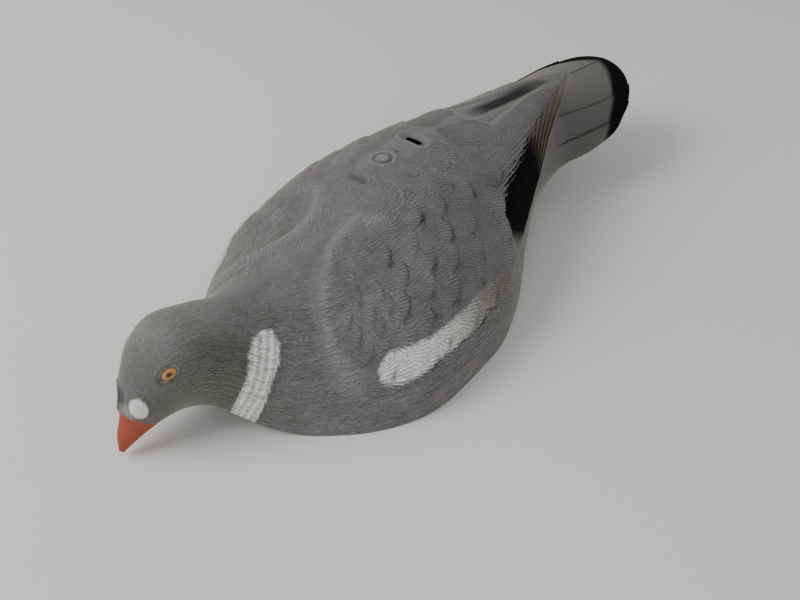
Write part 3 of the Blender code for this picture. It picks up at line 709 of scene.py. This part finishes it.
def paint_layers(points, along, down, masks):
    """Give the fields that the paint and the barbs are worked out from, four to a layer."""
    wing, inside = masks["wing"], masks["inside"]
    flight = below(along, down)
    wedge = smooth(along, 208.0, 214.0) * smooth(inside, 0.2, 3.0) * smooth(down - 0.35 * along, 9.0, -3.0)
    far_flight = smooth(along - 0.15 * down, 258.0, 280.0)
    above = smooth(flight, -7.0, 0.5) * smooth(along, 236.0, 246.0) * smooth(along, 300.0, 280.0)
    band = smooth(along - np.interp(down, *np.array(TAIL_BAND, float).T), -4.5, 3.5)
    soft_dark = np.maximum(band, 0.4 * above * wing * smooth(masks["edge"], 2.2, 0.2))
    tail_zone = smooth(along, 296.0, 312.0) * (1.0 - wing)

    fall = slope_to_tips(masks["feathers"], along, down)
    low_wing = smooth(down, 30.0, 38.0)
    shadow = 0.3 * smooth(fall, 0.2, 0.6) * low_wing * smooth(along, 262.0, 250.0)
    shadow = np.maximum(shadow, 0.9 * masks["tip_shadows"] * low_wing * wing)
    shadow = np.maximum(shadow, 0.8 * masks["back_shade"])
    furrow = smooth(along, 240.0, 268.0) * smooth(along, 336.0, 296.0)
    shadow = np.maximum(shadow, furrow * smooth(np.abs(points[..., 0] + 0.5), 6.5, 2.0))
    between_ceres = np.linalg.norm((points - BETWEEN_CERES) / (0.7, 0.7, 1.2), axis=-1)
    shadow = np.maximum(shadow, 0.6 * smooth(between_ceres, 4.8, 3.0) * smooth(masks["cere"], 4.8, 5.8))
    shadow = np.maximum(shadow, 0.2 * smooth(np.abs(masks["eye"] - 1.45), 0.3, 0.1))

    head = smooth(along, 88.0, 50.0) * (0.45 + 0.55 * smooth(down, 6.0, 30.0))
    # Painted highlights: lit edges of the upper wing feathers, the lit front ridge, the lips of the ring and
    # slot, the crown and a thin line along the wing's rear edge; and a paler patch at the beak root
    pale = 0.95 * smooth(fall, 0.1, 0.4) * (1.0 - low_wing) * smooth(along, 262.0, 240.0)
    pale = np.maximum(np.maximum(pale, 0.6 * masks["lip"]), 0.8 * masks["back_highlight"])
    pale = np.maximum(pale, smooth(np.linalg.norm(points - BEAK_ROOT, axis=-1), 5.5, 2.5))
    crown = smooth(along, 14.0, 28.0) * smooth(along, 75.0, 50.0) * smooth(down, 26.0, 4.0)
    pale = np.maximum(pale, 0.5 * crown)
    pale = np.maximum(pale, 0.25 * smooth(np.abs(inside - 1.0), 1.4, 0.4) * smooth(along, 225.0, 240.0))
    barred = masks["barbs"] * wing * (1.0 - masks["flight"])
    waves = (0.35 + 0.65 * smooth(down, 6.0, 30.0)) * smooth(along, 12.0, 40.0) * smooth(along, 300.0, 250.0)
    waves *= (1.0 - 0.45 * wing * (1.0 - masks["lip"])) * (1.0 - 0.6 * np.clip(barred, 0.0, 1.0))

    scale_rows = smooth(masks["patch"], -0.5, 1.0)
    tail_barbs = smooth(along, 285.0, 300.0) * (1.0 - wing)
    phase = np.where(tail_barbs > 0.0, down * 0.9 - along * 0.42, masks["phase"])
    phase = np.where(scale_rows > 0.0, (along + 0.42 * down + 0.3 * np.sin(down * 2.6)) * 0.42, phase)
    barbs = np.maximum(barred, np.maximum(0.4 * tail_barbs, 0.9 * scale_rows))

    # Painted shadow lines at the feather tips on the lower wing
    tips = np.minimum(masks["tips"], 1.0) * low_wing * wing
    bar = outline_distance(along, down - 5.0 * (points[..., 0] < -20.0), WHITE_BAR)
    layers = {
        "paint": (soft_dark, wedge, far_flight, tail_zone),
        "tone": (head, shadow, pale, waves),
        "vane": (masks["edge"], tips, inside, np.clip(masks["cere"], 0.0, 30.0)),
        "lines": (np.maximum(bar, -30.0), np.maximum(masks["patch"], -30.0), tail_fan(along, down), flight),
    }
    return layers, phase, barbs


def below(along, down):
    """Give how far a place lies below the upper border of the black flight feathers."""
    return down - np.interp(along, *np.array(FLIGHT_TOP, float).T)


def build_shell():
    """Loft the outer and inner skin, close them along the rim, and store the fields on the mesh."""
    stations = outer_stations()
    columns = np.interp(np.linspace(-1.0, 1.0, COLUMNS + 1), (-1.0, -0.2, 0.2, 1.0), (-1.0, -0.1, 0.1, 1.0))
    station, turn = np.meshgrid(stations, columns, indexing="ij")
    outer_points = skin_point(station, turn)
    along, down = unrolled(station, outer_points)
    height, masks = carve(outer_points, along, down)
    height *= smooth(1.0 - np.abs(turn), 0.0, 0.06)
    outer_points += height[..., None] * skin_normal(station, turn)

    inner_station, inner_turn = np.meshgrid(np.linspace(BEAK_SOLID_TO, LAST, INNER_ROWS + 1),
                                            np.linspace(-1.0, 1.0, INNER_COLUMNS + 1), indexing="ij")
    inner_points = skin_point(inner_station, inner_turn)
    rim_height = inner_points[:, (0, -1), 2].copy()
    inner_points -= WALL * skin_normal(inner_station, inner_turn)
    before_tail = inner_station[:, 0] < LAST - 1
    inner_points[before_tail, 0, 2] = rim_height[before_tail, 0]
    inner_points[before_tail, -1, 2] = rim_height[before_tail, 1]

    corners = outer_points.reshape(-1, 3)
    centre = (corners.min(axis=0) + corners.max(axis=0)) / 2
    centre[2] = 0.0
    mesh = bmesh.new()
    outer = add_grid(mesh, outer_points - centre)
    outer_count = len(mesh.verts)
    outer_faces = len(mesh.faces)
    inner = add_grid(mesh, inner_points - centre)
    hollow_row = int(np.argmin(np.abs(stations - BEAK_SOLID_TO)))
    for i in range(hollow_row):
        mesh.faces.new((outer[i][0], outer[i][-1], outer[i + 1][-1], outer[i + 1][0]))
    mesh.faces.new(outer[0])
    mesh.faces.new(inner[0])
    mesh.faces.new((outer[hollow_row][0], outer[hollow_row][-1], inner[0][-1], inner[0][0]))
    for column in (0, -1):
        zip_edges(mesh, [line[column] for line in outer[hollow_row:]], [line[column] for line in inner])
    zip_edges(mesh, outer[-1], inner[-1])

    mesh.faces.ensure_lookup_table()
    mesh.verts.index_update()
    ragged = 0.02 * np.sin(columns * 61.0) + 0.03 * np.sin(columns * 23.0)
    beak_ends = 2.15 + 0.4 * np.cos(columns * pi / 2) ** 0.7 + ragged
    rim_end = np.searchsorted(stations, 2.15)
    for i, face in enumerate(mesh.faces):
        face.smooth = True
        row, column = divmod(i, COLUMNS)
        face.material_index = 0 if i < outer_faces else 2
        if i < outer_faces and stations[row + 1] < beak_ends[column]:
            face.material_index = 1
        if i >= outer_faces and all(v.index < outer_count for v in face.verts):
            face.material_index = 1 if max(v.index for v in face.verts) < rim_end * (COLUMNS + 1) else 0
    bmesh.ops.recalc_face_normals(mesh, faces=mesh.faces)

    data = bpy.data.meshes.new("flocked_shell")
    mesh.to_mesh(data)
    mesh.free()
    shell = bpy.data.objects.new("flocked_shell", data)
    bpy.context.scene.collection.objects.link(shell)
    to_rim = np.where(turn < 0.0, down[:, :1], down[:, -1:])
    store_layers(data, outer_count, along, 0.8 * to_rim - down,
                 *paint_layers(outer_points, along, down, masks))
    return shell, centre


def store_layers(data, outer_count, along, across, layers, phase, barbs):
    """Write the paint fields and the two unrolled maps to the mesh's vertices and corners."""
    for name, fields in layers.items():
        attribute = data.color_attributes.new(name=name, type="FLOAT_COLOR", domain="POINT")
        values = np.zeros((len(data.vertices), 4), np.float32)
        values[:outer_count] = np.stack([field.ravel() for field in fields], axis=-1)
        attribute.data.foreach_set("color", values.ravel())
    corner_vert = np.empty(len(data.loops), np.int64)
    data.loops.foreach_get("vertex_index", corner_vert)
    for name, first, second in (("skin", along, across), ("barbs", phase, barbs)):
        values = np.zeros((len(data.vertices), 2), np.float32)
        values[:outer_count] = np.stack([first.ravel(), second.ravel()], axis=-1)
        layer = data.uv_layers.new(name=name)
        layer.data.foreach_set("uv", values[corner_vert].ravel())


def add_eye(name, side, centre, coat, enamel):
    """Model one eye as a shallow almond-shaped dome with a soft lid round it, seated in its socket."""
    place, long_axis, short_axis, outward = eye_frame(side)
    profile = ((0.25, 0.7), (0.5, 0.6), (0.72, 0.4), (0.88, 0.15), (0.97, -0.1), (1.02, -0.25), (1.08, -0.05),
               (1.16, 0.2), (1.26, 0.3), (1.38, 0.18), (1.5, -0.1), (1.6, -0.5), (1.4, -0.9))
    turns = np.linspace(0.0, 2 * pi, 48, endpoint=False)
    mesh = bmesh.new()
    spots = []

    def ring_vert(radius, lift, turn):
        pointed = 1.62 + 0.38 * smooth(radius, 1.0, 1.5)
        blend = np.abs(np.cos(turn)) ** pointed + np.abs(np.sin(turn)) ** pointed
        reach = radius / blend ** (1.0 / pointed)
        u, v = EYE_HALF[0] * reach * np.cos(turn), EYE_HALF[1] * reach * np.sin(turn)
        drop = (u * u + v * v) / 44.0
        spots.append((u, v))
        spot = place + long_axis * u + short_axis * v + outward * (lift - drop) - centre
        return mesh.verts.new(Vector(spot) * MM)

    top = ring_vert(0.0, 0.9, 0.0)
    rings = [[ring_vert(radius, lift, turn) for turn in turns] for radius, lift in profile]
    bottom = ring_vert(0.0, -1.5, 0.0)
    for i in range(len(turns)):
        following = (i + 1) % len(turns)
        mesh.faces.new((top, rings[0][i], rings[0][following]))
        mesh.faces.new((bottom, rings[-1][following], rings[-1][i]))
        for k in range(len(rings) - 1):
            face = mesh.faces.new((rings[k][i], rings[k + 1][i], rings[k + 1][following],
                                   rings[k][following]))
            face.material_index = 1 if k < 5 else 0
    for face in mesh.faces:
        face.smooth = True
        if top in face.verts:
            face.material_index = 1
    bmesh.ops.recalc_face_normals(mesh, faces=mesh.faces)
    data = bpy.data.meshes.new(name)
    mesh.to_mesh(data)
    mesh.free()
    eye = bpy.data.objects.new(name, data)
    bpy.context.scene.collection.objects.link(eye)
    data.materials.append(coat)
    data.materials.append(enamel)
    layer = data.uv_layers.new(name="eye")
    for loop in data.loops:
        u, v = spots[loop.vertex_index]
        layer.data[loop.index].uv = (u * 0.95, v * 1.5)
    tone = data.color_attributes.new(name="tone", type="FLOAT_COLOR", domain="POINT")
    vane = data.color_attributes.new(name="vane", type="FLOAT_COLOR", domain="POINT")
    lines = data.color_attributes.new(name="lines", type="FLOAT_COLOR", domain="POINT")
    for i, (u, v) in enumerate(spots):
        reach = np.hypot(u / EYE_HALF[0], v / EYE_HALF[1])
        # The lid: the head's colour, painted shade close to the eye, and a slightly paler tone
        tone.data[i].color = (1.0, 0.6 * float(smooth(reach, 1.2, 1.0)), 0.3, 0.0)
        vane.data[i].color = (99.0, 0.0, 0.0, 30.0)
        lines.data[i].color = (-30.0, -30.0, 0.0, 0.0)
    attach(eye, "root")
    return eye


def crest_place(distance, centre):
    """Give the place of the crest line at a distance from the beak tip, and its tilt."""
    dense = np.linspace(0.0, LAST, 4001)
    station = np.interp(distance, curve_value(dense, np.arange(LAST + 1), TABLE[:, 0]), dense)
    point = skin_point(station, 0.0)
    step = skin_point(station + 0.05, 0.0) - skin_point(station - 0.05, 0.0)
    rise = float(carve(point[None, None], np.array([[distance]], float), np.array([[0.0]]))[0][0, 0])
    place = Vector((-centre[0], point[1] - centre[1], point[2] + rise)) * MM
    return place, Matrix.Rotation(np.arctan2(step[2], step[1]), 4, "X")


def cut(shell, cutter):
    """Cut one object from the shell, apply the modifier and remove the cutter."""
    boolean = shell.modifiers.new("cut", "BOOLEAN")
    boolean.operation = "DIFFERENCE"
    boolean.solver = "EXACT"
    boolean.object = cutter
    bpy.context.view_layer.objects.active = shell
    bpy.ops.object.modifier_apply(modifier=boolean.name)
    bpy.data.objects.remove(cutter, do_unlink=True)


def slot_cutter(place, tilt, size):
    """Make the cutter of a slot with rounded ends."""
    length, width, depth = size
    mesh = bmesh.new()
    loops = []
    for z in (-depth / 2, depth / 2):
        loop = []
        for i in range(SLOT_CORNERS):
            turn = 2 * pi * (i + 0.5) / SLOT_CORNERS
            shift = (length - width) / 2 * np.sign(np.cos(turn))
            corner = (shift + width / 2 * np.cos(turn), width / 2 * np.sin(turn), z)
            loop.append(mesh.verts.new(Vector(corner) * MM))
        loops.append(loop)
    mesh.faces.new(loops[0][::-1])
    mesh.faces.new(loops[1])
    for i in range(SLOT_CORNERS):
        following = (i + 1) % SLOT_CORNERS
        mesh.faces.new((loops[0][i], loops[0][following], loops[1][following], loops[1][i]))
    data = bpy.data.meshes.new("slot_cutter")
    mesh.to_mesh(data)
    mesh.free()
    cutter = bpy.data.objects.new("slot_cutter", data)
    bpy.context.scene.collection.objects.link(cutter)
    cutter.matrix_world = Matrix.Translation(place) @ tilt
    return cutter


def add_stage():
    """Set a plain pale floor, a large soft lamp in front of the bird's right shoulder, a fill and a pale sky."""
    bpy.ops.mesh.primitive_plane_add(size=6.0)
    floor = bpy.context.object
    floor.name = "floor"
    material, _, shader = new_material("pale_painted_floor")
    shader.inputs["Base Color"].default_value = linear("#f1efe9")
    shader.inputs["Roughness"].default_value = 0.9
    floor.data.materials.append(material)

    for name, place, size, power in (("key", (-0.62, -1.0, 1.1), 0.9, 14.0),
                                     ("fill", (1.5, -1.4, 1.1), 1.6, 9.0)):
        lamp = bpy.data.lights.new(name, "AREA")
        lamp.energy = power
        lamp.size = size
        holder = bpy.data.objects.new(name, lamp)
        holder.location = place
        holder.rotation_euler = (-Vector(place)).to_track_quat("-Z", "Y").to_euler()
        bpy.context.scene.collection.objects.link(holder)
    world = bpy.data.worlds.new("soft_sky")
    world.use_nodes = True
    world.node_tree.nodes["Background"].inputs["Color"].default_value = linear("#e4e7ea")
    world.node_tree.nodes["Background"].inputs["Strength"].default_value = 0.55
    bpy.context.scene.world = world


def add_camera(centre):
    """Stand where the photographer stood, as fitted to the outline, the slots and the ring."""
    data = bpy.data.cameras.new("camera")
    data.lens = CAMERA_LENS
    data.sensor_width = 36.0
    data.clip_start = 0.01
    camera = bpy.data.objects.new("camera", data)
    camera.matrix_world = Matrix.Translation((Vector(CAMERA_AT) - Vector(centre)) * MM) @ Matrix(
        CAMERA_TURN).transposed().to_4x4()
    bpy.context.scene.collection.objects.link(camera)
    bpy.context.scene.camera = camera


def main():
    bpy.ops.object.select_all(action="DESELECT")
    shell, centre = build_shell()
    coat = flocked_plumage()
    shell.data.materials.append(coat)
    shell.data.materials.append(beak_paint())
    shell.data.materials.append(bare_plastic())
    place, _ = crest_place(SLOT_AT, centre)
    cut(shell, slot_cutter(place, Matrix(),
                           (SLOT_SIZE[0] - SLIT_INSET[0], SLOT_SIZE[1] - SLIT_INSET[1], SLIT_DEPTH)))
    enamel = eye_enamel()
    # Right and left as seen from in front of the bird
    for name, side in (("eye_right", 1), ("eye_left", -1)):
        add_eye(name, side, centre, coat, enamel)
    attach(shell, "root")
    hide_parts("shell")
    add_stage()
    add_camera(centre)


main()
